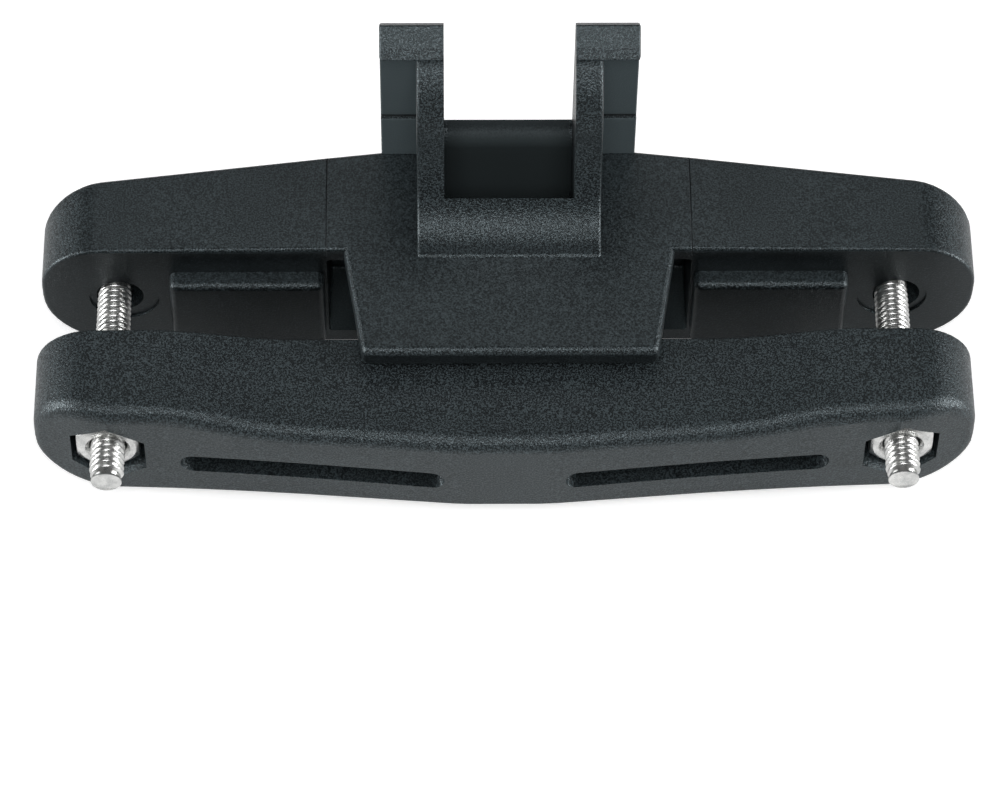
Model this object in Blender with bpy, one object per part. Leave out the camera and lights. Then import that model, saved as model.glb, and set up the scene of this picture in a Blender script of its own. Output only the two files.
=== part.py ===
"""Saddle bag mount: a two-jaw clamp for saddle rails, with a moulded hitch on its rear jaw.

X runs along the jaws, Y along the screws towards the rear and Z up, in metres.
The origin is under the middle of the clamp, on the surface that it stands on.
The shapes are written from the rear jaw's inner face, where y is zero, and its underside.
"""
import math

import bmesh
import bpy
from mathutils import Vector

# The clamp as a whole
JAW_OPENING = 0.0100
SCREW_INSET = 0.0088
SCREW_HEIGHT = 0.0089
CLAMP_JAW_LIFT = 0.0019
JAW_PLAY = 0.0006

# Rear jaw, which carries the hitch
HITCH_JAW_LENGTH = 0.1066
HITCH_JAW_HEIGHT = 0.0183
HITCH_JAW_TOP_RADIUS = 0.0070
HITCH_JAW_FOOT_RADIUS = 0.0090
HITCH_JAW_MIDDLE_DEPTH = 0.0140
HITCH_JAW_SHOULDER_DEPTH = 0.0101
HITCH_JAW_SHOULDER_REACH = 0.0063
HITCH_JAW_END_FALL = 0.0010
HITCH_JAW_INNER_EDGE = 0.0004
HITCH_JAW_BACK_EDGE = 0.0009
TOP_FLAT_WIDTH = 0.0420
WING_FALL = 0.0004

# Top plate and tongue over the front jaw
CAVITY_WIDTH = 0.0414
CAVITY_DEPTH = 0.0090
TOP_PLATE_THICKNESS = 0.0021
JAW_FLOOR_THICKNESS = 0.0022
RIB_THICKNESS = 0.0016
TONGUE_ROOT_WIDTH = 0.0374
TONGUE_TIP_WIDTH = 0.0330
TONGUE_REACH = 0.0140
TONGUE_THICKNESS = 0.0029
TONGUE_CORNER_RADIUS = 0.0009
TONGUE_EDGE_RADIUS = 0.0008

# Pads that press on the saddle rails
PAD_INNER_EDGE_X = 0.0210
PAD_WIDTH = 0.0176
PAD_THICKNESS = 0.0021
PAD_TOP_DROP = 0.0044
PAD_EDGE_RADIUS = 0.0008

# Hitch: ramp, arms, flanges and ears
HITCH_WIDTH = 0.0290
SPINE_DEPTH = 0.0164
ARM_OUTER_WIDTH = 0.0208
LATCH_WIDTH = 0.01466
RAMP_START = 0.0012
RAMP_RADIUS = 0.0061
ARM_FRONT_RADIUS = 0.0285
ARM_SHOULDER_RADIUS = 0.0110
EAR_FACE_LENGTH = 0.0053
EAR_LIP_LENGTH = 0.0040
RIDGE_FALL = 0.0018
EAR_PROUD = 0.00003
ARM_EDGE_RADIUS = 0.0004
SPINE_EDGE_RADIUS = 0.0002
RAMP_STEP = 0.0002
FLANGE_FOOT_HEIGHT = 0.0065
FLANGE_FOOT_STEP = 0.0005
LATCH_WALL_HEIGHT = 0.0025
LATCH_WALL_RADIUS = 0.0022
LATCH_FLOOR_THICKNESS = 0.0030

# Angles of the hitch's front curve, from level, and the least angle of a rounded edge
RAMP_LIP_TILT = math.radians(65)
ARM_TILT = math.radians(82)
EAR_TILT = math.radians(40)
EDGE_ANGLE = math.radians(42.5)

# Front jaw, which holds the nuts
CLAMP_JAW_END_INSET = 0.0083
CLAMP_JAW_HEIGHT = 0.0152
CLAMP_JAW_TOP_RADIUS = 0.0068
CLAMP_JAW_FOOT_REACH = 0.0086
CLAMP_JAW_FOOT_RISE = 0.0064
CLAMP_JAW_WING_DEPTH = 0.0115
CLAMP_JAW_BULGE = 0.00245
CLAMP_JAW_BULGE_FLAT = 0.0100
CLAMP_JAW_END_REACH = 0.0095
CLAMP_JAW_END_FALL = 0.0021
CLAMP_JAW_INNER_EDGE = 0.0003
CLAMP_JAW_BROW_RADIUS = 0.0020
CLAMP_JAW_SOLE_RADIUS = 0.0006
SADDLE_DROP = 0.0020
SADDLE_FLAT_WIDTH = 0.0480
SADDLE_WIDTH = 0.0800
SADDLE_FRONT_FALL = 0.0010
SLOT_START = 0.0068
SLOT_LENGTH = 0.0296
SLOT_HEIGHT = 0.0029
SLOT_DEPTH = 0.0020
SLOT_RISE = 0.0049
SLOT_OUTER_RISE = 0.0057
BULGE_POWER = 1.4
END_POWER = 1.5

# M4 screw with a socket head, and its nut
SCREW_LENGTH = 0.0300
SCREW_SHANK_RADIUS = 0.00195
SCREW_TIP_CHAMFER = 0.0002
HEAD_RADIUS = 0.0035
HEAD_HEIGHT = 0.0040
HEAD_EDGE_RADIUS = 0.0004
SOCKET_WIDTH = 0.0030
SOCKET_DEPTH = 0.0020
SCREW_SEAT_DEPTH = 0.0049
NUT_WIDTH = 0.0070
NUT_HEIGHT = 0.0032
NUT_TRAVEL_LEFT = 0.0045
NUT_FACE_WIDTH = 0.0064
NUT_CHAMFER_TILT = math.radians(30)
NUT_SINK = 0.0004

# Clearances and holes
SEAT_GAP = 0.0003
THREAD_GAP = 0.0002
HEAD_GAP = 0.0003
NUT_SIDE_GAP = 0.00025
NUT_MOUTH_FLARE = 0.0005
SCREW_HOLE_RADIUS = 0.0027
CLAMP_HOLE_RADIUS = 0.0023
RING_RADIUS = 0.0040
RING_SHIFT = 0.0005
RING_DEPTH = 0.0003
BACK_SLOT_DEPTH = 0.0030
BACK_SLOT_HEIGHT = 0.0040
BACK_SLOT_START = 0.0185
BACK_SLOT_LENGTH = 0.0185
OVERRUN = 0.0010

# Places that follow from the sizes above
SIDES = (-1, 1)
ROUND_STEPS = 32
CORNER_STEPS = 12
EDGE_STEPS = 3
CURVE_STEPS = 22
SCREW_X = HITCH_JAW_LENGTH / 2 - SCREW_INSET
CLAMP_JAW_LENGTH = 2 * (SCREW_X + CLAMP_JAW_END_INSET)
CLAMP_INNER_Y = -JAW_OPENING
SCREW_TIP_Y = SCREW_SEAT_DEPTH - SCREW_LENGTH
NUT_OUTER_Y = SCREW_TIP_Y + NUT_TRAVEL_LEFT
NUT_INNER_Y = NUT_OUTER_Y + NUT_HEIGHT
MIDDLE_Y = (SCREW_TIP_Y + SPINE_DEPTH) / 2
TONGUE_UNDERSIDE = HITCH_JAW_HEIGHT - TONGUE_THICKNESS
PLATE_UNDERSIDE = HITCH_JAW_HEIGHT - TOP_PLATE_THICKNESS


def clear_scene():
    for item in list(bpy.data.objects):
        bpy.data.objects.remove(item)


def material(name, colour, roughness, metallic):
    """A Principled material with one colour."""
    made = bpy.data.materials.new(name)
    made.use_nodes = True
    shader = made.node_tree.nodes["Principled BSDF"]
    shader.inputs["Base Color"].default_value = (*colour, 1)
    shader.inputs["Roughness"].default_value = roughness
    shader.inputs["Metallic"].default_value = metallic
    made.diffuse_color = (*colour, 1)
    return made


def solid_from_rings(name, rings, ladder=False):
    """Join closed rings of points into one skin.

    The two end rings are filled, either as one flat face or, for a curved end, as a
    ladder of strips between the ring's first half and its second half."""
    mesh = bpy.data.meshes.new(name)
    work = bmesh.new()
    made = [[work.verts.new(point) for point in ring] for ring in rings]
    count = len(rings[0])
    for low, high in zip(made, made[1:]):
        for i in range(count):
            j = (i + 1) % count
            work.faces.new((low[i], low[j], high[j], high[i]))
    for ring in (made[0], made[-1]):
        if ladder:
            for i in range(count // 2 - 1):
                work.faces.new((ring[i], ring[i + 1], ring[-2 - i], ring[-1 - i]))
        else:
            work.faces.new(ring)
    bmesh.ops.recalc_face_normals(work, faces=work.faces)
    work.to_mesh(mesh)
    work.free()
    mesh.shade_smooth()
    mesh.set_sharp_from_angle(angle=math.radians(35))
    made_object = bpy.data.objects.new(name, mesh)
    bpy.context.scene.collection.objects.link(made_object)
    return made_object


def prism_along_x(name, outline, low_x, high_x):
    """A straight solid along X from an outline of (y, z) points."""
    return solid_from_rings(name, [[(x, y, z) for y, z in outline] for x in (low_x, high_x)])


def prism_along_z(name, outline, low_z, high_z):
    """A straight solid along Z from an outline of (x, y) points."""
    return solid_from_rings(name, [[(x, y, z) for x, y in outline] for z in (low_z, high_z)])


def turned_along_y(name, profile, steps=ROUND_STEPS):
    """A turned solid about the Y axis from a profile of (radius, y) points."""
    rings = []
    for radius, y in profile:
        turns = [math.tau * i / steps for i in range(steps)]
        rings.append([(radius * math.cos(turn), y, radius * math.sin(turn)) for turn in turns])
    return solid_from_rings(name, rings)


def hexagon_ring(width, y):
    """Six corners about the Y axis, two of them straight up and down."""
    radius = width / 2 / math.cos(math.pi / 6)
    turns = [math.pi / 2 + math.tau * i / 6 for i in range(6)]
    return [(radius * math.cos(turn), y, radius * math.sin(turn)) for turn in turns]


def rounded(corners, steps=EDGE_STEPS):
    """An outline whose corners, each (u, v, radius), are arcs."""
    outline = []
    count = len(corners)
    for i, (u, v, radius) in enumerate(corners):
        corner = Vector((u, v))
        if radius == 0:
            outline.append((u, v))
            continue
        to_last = (Vector(corners[i - 1][:2]) - corner).normalized()
        to_next = (Vector(corners[(i + 1) % count][:2]) - corner).normalized()
        half = to_last.angle(to_next) / 2
        centre = corner + (to_last + to_next).normalized() * (radius / math.sin(half))
        start = corner + to_last * (radius / math.tan(half)) - centre
        end = corner + to_next * (radius / math.tan(half)) - centre
        first = math.atan2(start.y, start.x)
        sweep = math.remainder(math.atan2(end.y, end.x) - first, math.tau)
        for k in range(steps + 1):
            turn = first + sweep * k / steps
            outline.append((centre.x + radius * math.cos(turn), centre.y + radius * math.sin(turn)))
    return outline


def rounded_box(name, low, high, radius):
    """A box with the same radius on all its edges."""
    corners = [(low[0], low[1]), (high[0], low[1]), (high[0], high[1]), (low[0], high[1])]
    box = prism_along_z(name, corners, low[2], high[2])
    round_edges(box, radius)
    return box


def round_edges(item, radius, steps=EDGE_STEPS):
    """Round every sharp edge of a simple solid."""
    bevel = item.modifiers.new("rounded_edges", "BEVEL")
    bevel.width = radius
    bevel.segments = steps
    bevel.limit_method = "ANGLE"
    bevel.angle_limit = EDGE_ANGLE


def hide_tool(tool):
    """A tool shape is only used by the pieces that it cuts or joins."""
    tool.hide_render = True
    tool.display_type = "WIRE"


def combine(item, tool, operation):
    """Cut, join or intersect a piece with a tool shape."""
    boolean = item.modifiers.new(tool.name, "BOOLEAN")
    boolean.operation = operation
    boolean.solver = "EXACT"
    boolean.object = tool
    hide_tool(tool)


def moved(tool, x=0, y=0, z=0):
    """Carry a tool's mesh to its place, so that it can be a child of its piece."""
    for vertex in tool.data.vertices:
        vertex.co += Vector((x, y, z))
    return tool


def slab(name, heights, stations, face_ys, face_radii):
    """A jaw whose outline, seen from the front, has a rounded edge on each face.

    heights gives the outline's lowest and highest z at x, face_ys the y of each face at x,
    and face_radii the radius of each face's edge at a point of the outline."""
    upper = [(x, heights(x)[1]) for x in stations]
    lower = [(x, heights(x)[0]) for x in reversed(stations)]
    outline = [Vector(point) for point in upper + lower]
    count = len(outline)
    rings = []
    for face, inward in ((0, 1), (1, -1)):
        steps = range(EDGE_STEPS + 1)
        for k in steps if face == 0 else reversed(steps):
            turn = math.pi / 2 * k / EDGE_STEPS
            ring = []
            for i, point in enumerate(outline):
                along = outline[(i + 1) % count] - outline[i - 1]
                outward = Vector((-along.y, along.x)).normalized()
                radius = face_radii[face](point)
                place = point - outward * radius * (1 - math.sin(turn))
                y = face_ys[face](point.x) + inward * radius * (1 - math.cos(turn))
                ring.append((place.x, y, place.y))
            rings.append(ring)
    return solid_from_rings(name, rings, ladder=True)


def jaw_stations(length, reach, marks):
    """Places along a jaw: close together round each end, and at the given marks between."""
    end_start = length / 2 - reach
    turns = [math.pi / 2 * (i + 1) / CORNER_STEPS for i in range(CORNER_STEPS)]
    half = [end_start + reach * math.sin(turn) for turn in turns]
    half += [end_start]
    half += [mark for mark in marks if mark < end_start]
    half = sorted(half)
    return [-x for x in reversed(half) if x > 0] + half


def quarter(distance, reach, rise):
    """Height lost at a distance past the start of a quarter ellipse."""
    share = min(max(distance / reach, 0), 1)
    return rise * (1 - math.sqrt(1 - share * share))


def hitch_jaw_heights(x):
    half = HITCH_JAW_LENGTH / 2
    flat = TOP_FLAT_WIDTH / 2
    wing_share = max(abs(x) - flat, 0) / (half - flat)
    low = quarter(abs(x) - half + HITCH_JAW_FOOT_RADIUS, HITCH_JAW_FOOT_RADIUS, HITCH_JAW_FOOT_RADIUS)
    lost = quarter(abs(x) - half + HITCH_JAW_TOP_RADIUS, HITCH_JAW_TOP_RADIUS, HITCH_JAW_TOP_RADIUS)
    return low, HITCH_JAW_HEIGHT - WING_FALL * wing_share - lost


def hitch_jaw_back(x):
    """The back face tapers from the hitch to the shoulder, and then rounds off to the end."""
    half = HITCH_JAW_LENGTH / 2
    start = HITCH_WIDTH / 2
    shoulder = half - HITCH_JAW_SHOULDER_REACH
    slope = (HITCH_JAW_MIDDLE_DEPTH - HITCH_JAW_SHOULDER_DEPTH) / (shoulder - start)
    end_share = max(abs(x) - shoulder, 0) / HITCH_JAW_SHOULDER_REACH
    return HITCH_JAW_MIDDLE_DEPTH - slope * max(abs(x) - start, 0) - HITCH_JAW_END_FALL * end_share ** 2


def hitch_front_curve():
    """The ramp, the arm's front and the ear's face as one line of (y, z) points, going up."""
    y, z = -RAMP_START, HITCH_JAW_HEIGHT + RAMP_STEP
    points = [(y, z)]
    bends = ((0, RAMP_LIP_TILT, RAMP_RADIUS), (RAMP_LIP_TILT, ARM_TILT, ARM_FRONT_RADIUS),
             (ARM_TILT, EAR_TILT, ARM_SHOULDER_RADIUS))
    for start, end, radius in bends:
        length = radius * abs(end - start)
        for k in range(CORNER_STEPS // 2):
            tilt = start + (end - start) * (k + 1 / 2) / (CORNER_STEPS // 2)
            y += length / (CORNER_STEPS // 2) * math.cos(tilt)
            z += length / (CORNER_STEPS // 2) * math.sin(tilt)
            points.append((y, z))
    points.append((y + EAR_FACE_LENGTH * math.cos(EAR_TILT), z + EAR_FACE_LENGTH * math.sin(EAR_TILT)))
    return points


def add_hitch(jaw):
    """Spine with its flanges and ears, the ramp and arms, and the latch pocket between them."""
    curve = hitch_front_curve()
    lip_y, lip_z = curve[CORNER_STEPS // 2]
    below, top = Vector(curve[-2]), Vector(curve[-1])
    lip = top + (below - top) * (EAR_LIP_LENGTH / EAR_FACE_LENGTH)
    proud = Vector((-math.sin(EAR_TILT), math.cos(EAR_TILT))) * EAR_PROUD
    half = HITCH_WIDTH / 2
    buried_z = HITCH_JAW_HEIGHT - OVERRUN
    step_y = HITCH_JAW_MIDDLE_DEPTH - FLANGE_FOOT_STEP
    step_z = HITCH_JAW_HEIGHT + FLANGE_FOOT_HEIGHT
    spine_front = HITCH_JAW_MIDDLE_DEPTH - OVERRUN
    spine = [(spine_front, 0), (SPINE_DEPTH, 0), (SPINE_DEPTH, top.y - RIDGE_FALL), tuple(top + proud),
             tuple(lip + proud), (HITCH_JAW_MIDDLE_DEPTH, lip.y), (HITCH_JAW_MIDDLE_DEPTH, step_z),
             (step_y, step_z), (step_y, buried_z), (spine_front, buried_z)]
    spine_tool = prism_along_x("spine_tool", spine, -half, half)
    round_edges(spine_tool, SPINE_EDGE_RADIUS, 2)
    combine(jaw, spine_tool, "UNION")

    inside_y = SPINE_DEPTH - OVERRUN
    arms = [(-RAMP_START, buried_z)] + curve[:-1] + [tuple(lip), (inside_y, lip.y), (inside_y, buried_z)]
    arms_tool = prism_along_x("arms_tool", arms, -ARM_OUTER_WIDTH / 2, ARM_OUTER_WIDTH / 2)
    round_edges(arms_tool, ARM_EDGE_RADIUS)
    combine(jaw, arms_tool, "UNION")

    clear_z = top.y + OVERRUN
    wall_z = HITCH_JAW_HEIGHT + LATCH_WALL_HEIGHT
    latch = [(lip_y, LATCH_FLOOR_THICKNESS, 0), (HITCH_JAW_MIDDLE_DEPTH, LATCH_FLOOR_THICKNESS, 0),
             (HITCH_JAW_MIDDLE_DEPTH, wall_z, LATCH_WALL_RADIUS), (SPINE_DEPTH + OVERRUN, wall_z, 0),
             (SPINE_DEPTH + OVERRUN, clear_z, 0), (lip_y, clear_z, 0)]
    pocket = prism_along_x("latch_pocket_tool", rounded(latch, CORNER_STEPS), -LATCH_WIDTH / 2, LATCH_WIDTH / 2)
    combine(jaw, pocket, "DIFFERENCE")


def add_tongue(jaw):
    """The plate that reaches over the front jaw."""
    root, tip = TONGUE_ROOT_WIDTH / 2, TONGUE_TIP_WIDTH / 2
    root_y = TOP_PLATE_THICKNESS
    corners = [(root, root_y, 0), (-root, root_y, 0), (-root, 0, 0),
               (-tip, -TONGUE_REACH, TONGUE_CORNER_RADIUS),
               (tip, -TONGUE_REACH, TONGUE_CORNER_RADIUS), (root, 0, 0)]
    tongue = prism_along_z("tongue_tool", rounded(corners), TONGUE_UNDERSIDE, HITCH_JAW_HEIGHT)
    round_edges(tongue, TONGUE_EDGE_RADIUS)
    combine(jaw, tongue, "UNION")


def add_pads(jaw):
    """A raised pad on each side, which presses on a saddle rail."""
    top = HITCH_JAW_HEIGHT - PAD_TOP_DROP
    for side, name in zip(SIDES, ("pad_left_tool", "pad_right_tool")):
        xs = sorted((side * PAD_INNER_EDGE_X, side * (PAD_INNER_EDGE_X + PAD_WIDTH)))
        low = (xs[0], -PAD_THICKNESS, JAW_FLOOR_THICKNESS)
        high = (xs[1], PAD_THICKNESS, top)
        combine(jaw, rounded_box(name, low, high, PAD_EDGE_RADIUS), "UNION")


def cut_cavities(jaw):
    """Two hollows under the top plate, beside the latch pocket's walls."""
    inner = LATCH_WIDTH / 2 + RIB_THICKNESS
    for side, name in zip(SIDES, ("cavity_left_tool", "cavity_right_tool")):
        xs = sorted((side * inner, side * CAVITY_WIDTH / 2))
        low = (xs[0], -OVERRUN, JAW_FLOOR_THICKNESS)
        high = (xs[1], CAVITY_DEPTH, PLATE_UNDERSIDE)
        combine(jaw, rounded_box(name, low, high, HITCH_JAW_INNER_EDGE), "DIFFERENCE")


def cut_screw_holes(jaw):
    """A loose hole for each screw, with a shallow ring in front and room for the head behind."""
    head_y = SCREW_SEAT_DEPTH - SEAT_GAP
    well_radius = HEAD_RADIUS + JAW_PLAY + HEAD_GAP
    shapes = (("screw_bore", SCREW_HOLE_RADIUS, -OVERRUN, SPINE_DEPTH, 0),
              ("screw_ring", RING_RADIUS, -OVERRUN, RING_DEPTH, RING_SHIFT),
              ("head_well", well_radius, head_y, SPINE_DEPTH, 0))
    for side, side_name in zip(SIDES, ("left", "right")):
        for name, radius, front_y, back_y, shift in shapes:
            tool = turned_along_y(name + "_" + side_name + "_tool", [(radius, front_y), (radius, back_y)])
            combine(jaw, moved(tool, x=side * (SCREW_X - shift), z=SCREW_HEIGHT), "DIFFERENCE")


def slot_tool(name, side, start, length, height, middle_zs, face_y, depth, outward):
    """A groove with round ends that keeps its depth along a curved face.

    middle_zs are the heights of its middle at its inner and its outer end."""
    radius = height / 2
    turns = [math.pi / 2 * k / CORNER_STEPS for k in range(1, CORNER_STEPS)]
    places = [(radius * (1 - math.cos(turn)), math.sin(turn)) for turn in turns]
    run = length - height
    steps = CURVE_STEPS // 2
    xs = [(start + place, share) for place, share in places]
    xs += [(start + radius + run * k / steps, 1) for k in range(steps + 1)]
    xs += [(start + length - place, share) for place, share in reversed(places)]
    rings = []
    for x, half_share in xs:
        half = radius * half_share
        middle_z = middle_zs[0] + (middle_zs[1] - middle_zs[0]) * (x - start) / length
        face = face_y(x)
        near, far = face + outward * OVERRUN, face - outward * depth
        rings.append([(side * x, near, middle_z - half), (side * x, far, middle_z - half),
                      (side * x, far, middle_z + half), (side * x, near, middle_z + half)])
    return solid_from_rings(name, rings)


def cut_back_slots(jaw):
    """Coring in the back of each wing, as thick mouldings have."""
    middle = HITCH_JAW_HEIGHT / 2
    for side, name in zip(SIDES, ("back_slot_left_tool", "back_slot_right_tool")):
        tool = slot_tool(name, side, BACK_SLOT_START, BACK_SLOT_LENGTH, BACK_SLOT_HEIGHT, (middle, middle),
                         hitch_jaw_back, BACK_SLOT_DEPTH, 1)
        combine(jaw, tool, "DIFFERENCE")


def build_hitch_jaw():
    marks = [HITCH_WIDTH / 2, TOP_FLAT_WIDTH / 2, HITCH_JAW_LENGTH / 2 - HITCH_JAW_SHOULDER_REACH]
    stations = jaw_stations(HITCH_JAW_LENGTH, HITCH_JAW_FOOT_RADIUS, marks)
    jaw = slab("hitch_jaw", hitch_jaw_heights, stations,
               (lambda x: 0, hitch_jaw_back),
               (lambda point: HITCH_JAW_INNER_EDGE, lambda point: HITCH_JAW_BACK_EDGE))
    cut_cavities(jaw)
    add_tongue(jaw)
    add_pads(jaw)
    add_hitch(jaw)
    cut_screw_holes(jaw)
    cut_back_slots(jaw)
    return jaw


def saddle_share(x):
    """One in the lowered middle of the front jaw's top, zero on its wings."""
    low, high = SADDLE_FLAT_WIDTH / 2, SADDLE_WIDTH / 2
    share = min(max((abs(x) - low) / (high - low), 0), 1)
    return 1 - share * share * (3 - 2 * share)


def clamp_jaw_heights(x):
    half = CLAMP_JAW_LENGTH / 2
    low = quarter(abs(x) - half + CLAMP_JAW_FOOT_REACH, CLAMP_JAW_FOOT_REACH, CLAMP_JAW_FOOT_RISE)
    lost = quarter(abs(x) - half + CLAMP_JAW_TOP_RADIUS, CLAMP_JAW_TOP_RADIUS, CLAMP_JAW_TOP_RADIUS)
    return low, CLAMP_JAW_HEIGHT - SADDLE_DROP * saddle_share(x) - lost


def clamp_jaw_front(x):
    """The front face bulges towards the middle and falls back round each end."""
    end_start = CLAMP_JAW_LENGTH / 2 - CLAMP_JAW_END_REACH
    flat = CLAMP_JAW_BULGE_FLAT / 2
    wing_share = min(max((abs(x) - flat) / (end_start - flat), 0), 1)
    end_share = min(max((abs(x) - end_start) / CLAMP_JAW_END_REACH, 0), 1)
    bulge = CLAMP_JAW_BULGE * (1 - wing_share) ** BULGE_POWER
    return -(CLAMP_JAW_WING_DEPTH + bulge - CLAMP_JAW_END_FALL * end_share ** END_POWER)


def clamp_front_radius(point):
    """The brow's radius on top, easing to the sole's radius below."""
    share = min(max(point.y / CLAMP_JAW_HEIGHT, 0), 1)
    return CLAMP_JAW_SOLE_RADIUS + (CLAMP_JAW_BROW_RADIUS - CLAMP_JAW_SOLE_RADIUS) * share


def tip_saddle_forward(jaw):
    """The lowered middle of the top falls a little towards the front."""
    for vertex in jaw.data.vertices:
        depth_share = vertex.co.y / clamp_jaw_front(vertex.co.x)
        height_share = vertex.co.z / CLAMP_JAW_HEIGHT
        fall = SADDLE_FRONT_FALL * saddle_share(vertex.co.x)
        vertex.co.z -= fall * depth_share * height_share


def cut_nut_pockets(jaw):
    """A hexagonal pocket for each nut, flared at its mouth, and a hole for the screw."""
    floor_y = NUT_INNER_Y + SEAT_GAP - CLAMP_INNER_Y
    z = SCREW_HEIGHT - CLAMP_JAW_LIFT
    mouth_y = clamp_jaw_front(SCREW_X)
    flare_y = floor_y - NUT_HEIGHT / 3
    fit = NUT_WIDTH + 2 * NUT_SIDE_GAP
    mouth = fit + 2 * NUT_MOUTH_FLARE
    for side, name in zip(SIDES, ("left", "right")):
        rings = [hexagon_ring(fit, floor_y), hexagon_ring(fit, flare_y),
                 hexagon_ring(mouth, mouth_y), hexagon_ring(mouth, mouth_y - CLAMP_JAW_END_FALL)]
        pocket = solid_from_rings("nut_pocket_" + name + "_tool", rings)
        combine(jaw, moved(pocket, x=side * SCREW_X, z=z), "DIFFERENCE")
        profile = [(CLAMP_HOLE_RADIUS, OVERRUN), (CLAMP_HOLE_RADIUS, floor_y - OVERRUN)]
        hole = turned_along_y("clamp_hole_" + name + "_tool", profile)
        combine(jaw, moved(hole, x=side * SCREW_X, z=z), "DIFFERENCE")


def cut_front_slots(jaw):
    for side, name in zip(SIDES, ("front_slot_left_tool", "front_slot_right_tool")):
        tool = slot_tool(name, side, SLOT_START, SLOT_LENGTH, SLOT_HEIGHT, (SLOT_RISE, SLOT_OUTER_RISE),
                         clamp_jaw_front, SLOT_DEPTH, -1)
        combine(jaw, tool, "DIFFERENCE")


def build_clamp_jaw():
    end_start = CLAMP_JAW_LENGTH / 2 - CLAMP_JAW_FOOT_REACH
    marks = [end_start * k / CURVE_STEPS for k in range(CURVE_STEPS)]
    stations = jaw_stations(CLAMP_JAW_LENGTH, CLAMP_JAW_FOOT_REACH, marks)
    jaw = slab("clamp_jaw", clamp_jaw_heights, stations, (clamp_jaw_front, lambda x: 0),
               (clamp_front_radius, lambda point: CLAMP_JAW_INNER_EDGE))
    tip_saddle_forward(jaw)
    cut_nut_pockets(jaw)
    cut_front_slots(jaw)
    return jaw


def build_screw(name):
    """Socket head screw with its origin on its axis, under the head."""
    edge = HEAD_EDGE_RADIUS
    profile = [(SCREW_SHANK_RADIUS - SCREW_TIP_CHAMFER, -SCREW_LENGTH),
               (SCREW_SHANK_RADIUS, SCREW_TIP_CHAMFER - SCREW_LENGTH),
               (SCREW_SHANK_RADIUS, 0), (HEAD_RADIUS, 0), (HEAD_RADIUS, HEAD_HEIGHT - edge)]
    for k in range(1, EDGE_STEPS + 1):
        turn = math.pi / 2 * k / EDGE_STEPS
        profile.append((HEAD_RADIUS - edge * (1 - math.cos(turn)), HEAD_HEIGHT - edge * (1 - math.sin(turn))))
    screw = turned_along_y(name, profile)
    ends = (HEAD_HEIGHT - SOCKET_DEPTH, HEAD_HEIGHT + OVERRUN)
    socket = solid_from_rings(name + "_socket_tool", [hexagon_ring(SOCKET_WIDTH, y) for y in ends])
    combine(screw, socket, "DIFFERENCE")
    return screw, [socket]


def build_nut(name):
    """Hexagon nut, turned off at its corners, with its origin on its axis at its outer face."""
    nut = solid_from_rings(name, [hexagon_ring(NUT_WIDTH, y) for y in (0, NUT_HEIGHT)])
    face = NUT_FACE_WIDTH / 2
    reach = NUT_WIDTH / 2 / math.cos(math.pi / 6) + OVERRUN
    rise = (reach - face) * math.tan(NUT_CHAMFER_TILT)
    turned = [(face, 0), (reach, rise), (reach, NUT_HEIGHT - rise), (face, NUT_HEIGHT)]
    cone = turned_along_y(name + "_cone_tool", turned)
    combine(nut, cone, "INTERSECT")
    bore = SCREW_SHANK_RADIUS + THREAD_GAP
    sunk = bore + NUT_SINK
    hole = [(sunk + NUT_SINK, -NUT_SINK), (bore, NUT_SINK), (bore, NUT_HEIGHT - NUT_SINK),
            (sunk + NUT_SINK, NUT_HEIGHT + NUT_SINK)]
    thread = turned_along_y(name + "_thread_tool", hole)
    combine(nut, thread, "DIFFERENCE")
    return nut, [cone, thread]


def main():
    clear_scene()
    nylon = material("black_nylon_rear", (0.030, 0.035, 0.038), 0.48, 0)
    nylon_front = material("black_nylon_front", (0.030, 0.035, 0.038), 0.46, 0)
    zinc = material("zinc_plated_steel", (0.72, 0.71, 0.69), 0.28, 1)
    nut_zinc = material("zinc_plated_nut", (0.70, 0.69, 0.66), 0.32, 1)

    base = bpy.data.objects.new("clamp_frame", None)
    bpy.context.scene.collection.objects.link(base)
    base.location = (0, -MIDDLE_Y, 0)

    def place(item, location, finish, tools=()):
        item.location = location
        item.data.materials.append(finish)
        item.parent = base
        for tool in tools:
            tool.location = location
            tool.parent = base

    def tools_of(item):
        return [m.object for m in item.modifiers if m.type == "BOOLEAN"]

    hitch_jaw = build_hitch_jaw()
    place(hitch_jaw, (0, 0, 0), nylon, tools_of(hitch_jaw))
    clamp_jaw = build_clamp_jaw()
    place(clamp_jaw, (-JAW_PLAY, CLAMP_INNER_Y, CLAMP_JAW_LIFT), nylon_front, tools_of(clamp_jaw))
    for side, name in zip(SIDES, ("left", "right")):
        screw, tools = build_screw("screw_" + name)
        screw_x = side * SCREW_X - JAW_PLAY
        place(screw, (screw_x, SCREW_SEAT_DEPTH, SCREW_HEIGHT), zinc, tools)
        nut, tools = build_nut("nut_" + name)
        place(nut, (screw_x, NUT_OUTER_Y, SCREW_HEIGHT), nut_zinc, tools)


main()
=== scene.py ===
"""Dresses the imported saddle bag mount, and sets its stage and camera.

The moulded jaws and the nuts are the solids' own meshes with softened edges. The screws are
made new, with a wound thread, a knurled head and a hexagon socket."""
import math

import bmesh
import bpy
from bpy.props import (FloatProperty, FloatVectorProperty, IntProperty, PointerProperty,
                       StringProperty)
from mathutils import Matrix, Vector


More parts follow.
